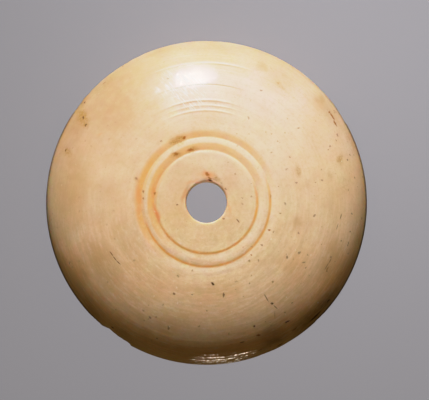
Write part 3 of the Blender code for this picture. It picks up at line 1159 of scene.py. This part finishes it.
def makeSawnBone():
    finish = sawnFinish
    material, tree, shader, point = newMaterial("sawnBone", finish)
    streaks = placeGroup(tree, turningStreaks, point, finish["streaks"])
    pores = placeGroup(tree, bonePores, point, finish["pores"])["Mask"]
    give(tree, shader.inputs["Base Color"], layered(
        tree, toned(tree, point, finish), finish,
        ("streakColour", streaks["Mask"], "streakShare"), ("poreColour", pores, "poreShare"),
    ))
    saw = placeGroup(tree, fineScratches, point, finish["sawLines"])["Height"]
    reliefs = {"streaks": streaks["Height"], "sawLines": saw, "pores": pores}
    heights = [product(tree, reliefs[name], height) for name, height in finish["heights"].items()]
    give(tree, shader.inputs["Normal"], bumped(tree, *heights))
    rough = total(tree, finish["roughness"], product(tree, noisy(tree, point, 0.9, 4.0, 0.6), 0.15))
    give(tree, shader.inputs["Roughness"], rough)
    return material


whorl = makeWhorl()
whorl.data.materials.append(makePolishedBone("polishedBoneUpper", 1))
whorl.data.materials.append(makePolishedBone("polishedBoneLower", -1))
whorl.data.materials.append(makeSawnBone())
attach(whorl, "root")
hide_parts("whorl")
print("bone finishes made")


# The floor and the lights. Sizes and places here are in metres.
studio = {
    "floorWidth": 3.0,
    "floorColour": (0.165, 0.159, 0.168, 1),
    "floorRoughness": 0.9,
    "floorGloss": 0.1,
    "keyAzimuth": 92,
    "keyFromVertical": 50,
    "keyDistance": 0.6,
    "keySize": 0.28,
    "keyLevel": 1.63,
    # two softboxes that show only as the shine on the polish: azimuth, angle from the vertical,
    # width, height and level
    "shines": {
        "wideShine": (99.0, 60, 0.24, 0.50, 0.52),
        "brightShine": (97.3, 62.5, 0.120, 0.16, 2.50),
    },
    "shineColour": (1.0, 0.95, 0.86),
    "ambientLevel": 0.078,
    "ambientColour": (1.0, 0.82, 0.48, 1),
    "floorBaseLevel": 1.24,
    "floorPoolLevel": 1.24,
    "floorPoolPlace": (0.022, 0.036, 0.076),
    "floorPoolColour": (0.98, 0.985, 1.03),
    "floorPoolSize": 0.05,
    "holeGlowPower": 0.00015,  # watts
    "holeGlowHeight": 0.0095,
    "holeGlowSize": 0.001,
    "stripAzimuth": 276,
    "stripElevation": -36,
    "stripDistance": 0.35,
    "stripTarget": (0, 0, 0.004),
    "stripSize": (0.16, 0.06),
    "stripLevel": 1.35,
    "stripColour": (1.0, 0.80, 0.58),
}


def makeFloor():
    half = studio["floorWidth"] / 2
    corners = [(-half, -half, 0), (half, -half, 0), (half, half, 0), (-half, half, 0)]
    mesh = bpy.data.meshes.new("studioFloor")
    mesh.from_pydata(corners, [], [(0, 1, 2, 3)])
    floor = bpy.data.objects.new("studioFloor", mesh)
    bpy.context.scene.collection.objects.link(floor)
    material = bpy.data.materials.new("paleFloor")
    material.use_nodes = True
    shader = material.node_tree.nodes["Principled BSDF"]
    shader.inputs["Base Color"].default_value = studio["floorColour"]
    shader.inputs["Roughness"].default_value = studio["floorRoughness"]
    shader.inputs["Specular IOR Level"].default_value = studio["floorGloss"]
    mesh.materials.append(material)
    floor.visible_diffuse = False
    floor.visible_glossy = False
    return floor


def onlyFor(light, thing):
    # the light reaches this piece alone, and only this piece stands in its way
    lights, shades = (bpy.data.collections.new(light.name + use) for use in ("Lights", "Shades"))
    lights.objects.link(thing)
    shades.objects.link(thing)
    light.light_linking.receiver_collection = lights
    light.light_linking.blocker_collection = shades


def addLight(name, kind, power, place, thing):
    data = bpy.data.lights.new(name, kind)
    data.energy = power
    light = bpy.data.objects.new(name, data)
    light.location = place
    bpy.context.scene.collection.objects.link(light)
    onlyFor(light, thing)
    return light


def addSoftbox(name, place, target, width, height, level, thing):
    # level is how bright white paper would look that faces the light at its target
    distance = (Vector(place) - Vector(target)).length
    light = addLight(name, "AREA", level * math.pi ** 2 * distance ** 2, place, thing)
    light.data.shape = "RECTANGLE"
    light.data.size, light.data.size_y = width, height
    light.rotation_euler = (Vector(target) - Vector(place)).to_track_quat("-Z", "Y").to_euler()
    light.visible_camera = False
    return light


def aimed(azimuth, elevation, distance):
    flat = math.cos(math.radians(elevation)) * distance
    return Vector((
        flat * math.cos(math.radians(azimuth)), flat * math.sin(math.radians(azimuth)),
        math.sin(math.radians(elevation)) * distance,
    ))


def lightScene(floor):
    top = Vector((0, 0, highCorner.z))
    place = top + aimed(studio["keyAzimuth"], 90 - studio["keyFromVertical"], studio["keyDistance"])
    size = studio["keySize"]
    addSoftbox("keySoftbox", place, top, size, size, studio["keyLevel"], whorl).visible_glossy = False
    for name, (azimuth, fromVertical, width, height, level) in studio["shines"].items():
        place = top + aimed(azimuth, 90 - fromVertical, studio["keyDistance"])
        shine = addSoftbox(name, place, top, width, height, level, whorl)
        shine.data.color = studio["shineColour"]
        shine.visible_diffuse = False
    place = aimed(studio["stripAzimuth"], studio["stripElevation"], studio["stripDistance"])
    target, size = studio["stripTarget"], studio["stripSize"]
    strip = addSoftbox("rimStrip", place, target, *size, studio["stripLevel"], whorl)
    strip.data.color = studio["stripColour"]
    strip.visible_diffuse = False
    glow = addLight("holeGlow", "POINT", studio["holeGlowPower"], (0, 0, studio["holeGlowHeight"]), whorl)
    glow.data.shadow_soft_size = studio["holeGlowSize"]
    glow.visible_camera = glow.visible_glossy = False
    place, size = Vector(studio["floorPoolPlace"]), studio["floorPoolSize"]
    below = place * Vector((1, 1, 0))
    pool = addSoftbox("floorPool", place, below, size, size, studio["floorPoolLevel"], floor)
    pool.data.color = studio["floorPoolColour"]
    addLight("floorWash", "SUN", studio["floorBaseLevel"] * math.pi, (0, 0, 0), floor)
    world = bpy.data.worlds.new("studioWorld")
    world.use_nodes = True
    background = world.node_tree.nodes["Background"]
    background.inputs["Color"].default_value = studio["ambientColour"]
    background.inputs["Strength"].default_value = studio["ambientLevel"]
    bpy.context.scene.world = world


# The camera stands over the disc, a little towards -Y. It looks at a point of the rim's plane.
cameraSetup = {
    "lens": 300.0,
    "sensor": 36.0,
    "distance": 0.510,
    "aim": (0.001137, 0.000415, 0.0006),
    "standBack": 0.0056,
    "clip": (0.05, 10.0),
}


def addCamera():
    aim = Vector(cameraSetup["aim"])
    rise = math.sqrt(cameraSetup["distance"] ** 2 - cameraSetup["standBack"] ** 2)
    place = aim + Vector((0, -cameraSetup["standBack"], rise))
    data = bpy.data.cameras.new("camera")
    data.lens = cameraSetup["lens"]
    data.sensor_width = cameraSetup["sensor"]
    data.clip_start, data.clip_end = cameraSetup["clip"]
    camera = bpy.data.objects.new("camera", data)
    bpy.context.scene.collection.objects.link(camera)
    camera.location = place
    camera.rotation_euler = (aim - place).to_track_quat("-Z", "Y").to_euler()
    bpy.context.scene.camera = camera


# How the camera answers to light: straight up to the middle tones, then a soft shoulder.
cameraResponse = {
    "straightUpTo": 0.5,
    "straightSteps": 5,
    "shoulder": (
        (0.60, 0.59), (0.70, 0.66), (0.86, 0.744), (1.00, 0.785), (1.15, 0.81), (1.50, 0.86), (2.00, 0.92),
    ),
    "white": 3.0,
}


def setResponse():
    view = bpy.context.scene.view_settings
    view.view_transform = "Standard"
    view.use_curve_mapping = True
    white = cameraResponse["white"]
    view.curve_mapping.white_level = (white, white, white)
    wholeCurve = view.curve_mapping.curves[3]
    for step in range(1, cameraResponse["straightSteps"] + 1):
        light = cameraResponse["straightUpTo"] * step / cameraResponse["straightSteps"]
        wholeCurve.points.new(light / white, light)
    for light, answer in cameraResponse["shoulder"]:
        wholeCurve.points.new(light / white, answer)
    view.curve_mapping.update()


lightScene(makeFloor())
addCamera()
setResponse()
print("floor, lights and camera made")
